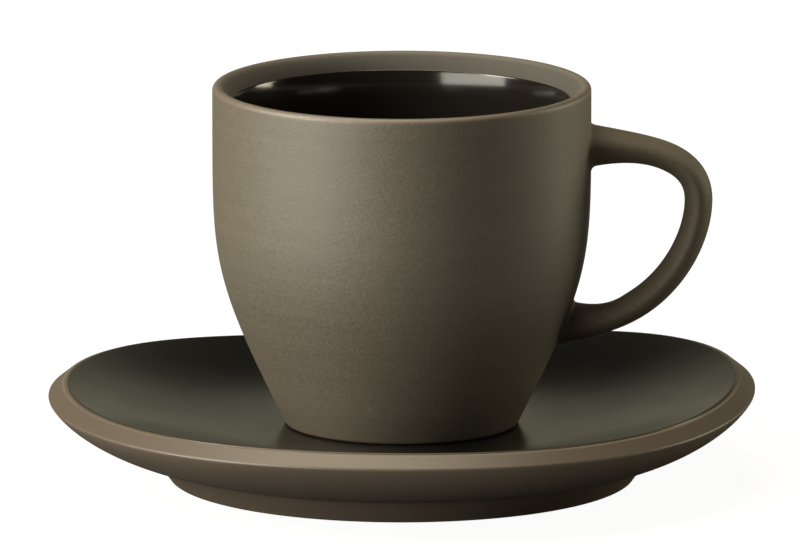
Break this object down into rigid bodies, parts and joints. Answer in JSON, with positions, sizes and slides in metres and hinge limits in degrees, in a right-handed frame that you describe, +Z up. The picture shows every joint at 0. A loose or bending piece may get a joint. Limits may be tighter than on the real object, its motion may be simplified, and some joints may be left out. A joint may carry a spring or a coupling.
{
  "type": "espresso cup with saucer",
  "caption": "Stoneware espresso cup with a strap handle and a dark glazed inside, standing on a round saucer with a bare bevelled rim; the cup lifts off.",
  "frame": {"origin": "middle of the saucer's foot ring, on the table", "axes": "+Z up, +X from the cup's axis to its handle"},
  "size_m": [0.1216, 0.1216, 0.0684],
  "materials": {
    "khaki_stoneware": "matte, fine grained",
    "joint_slip": "matte",
    "bare_stoneware": "bare, smooth",
    "gloss_glaze": "gloss",
    "satin_glaze": "satin"
  },
  "bodies": {
    "saucer": {"saucer_body": "bare_stoneware", "saucer_glaze": "satin_glaze"},
    "cup": {"cup_body": "khaki_stoneware", "cup_glaze": "gloss_glaze", "cup_handle": "khaki_stoneware", "upper_slip_joint": "joint_slip", "lower_slip_joint": "joint_slip"}
  },
  "joints": [
    {"name": "cup_lift", "type": "slide", "parent": "saucer", "child": "cup", "axis": [0, 0, 1], "range_m": [0, 0.08]}
  ]
}
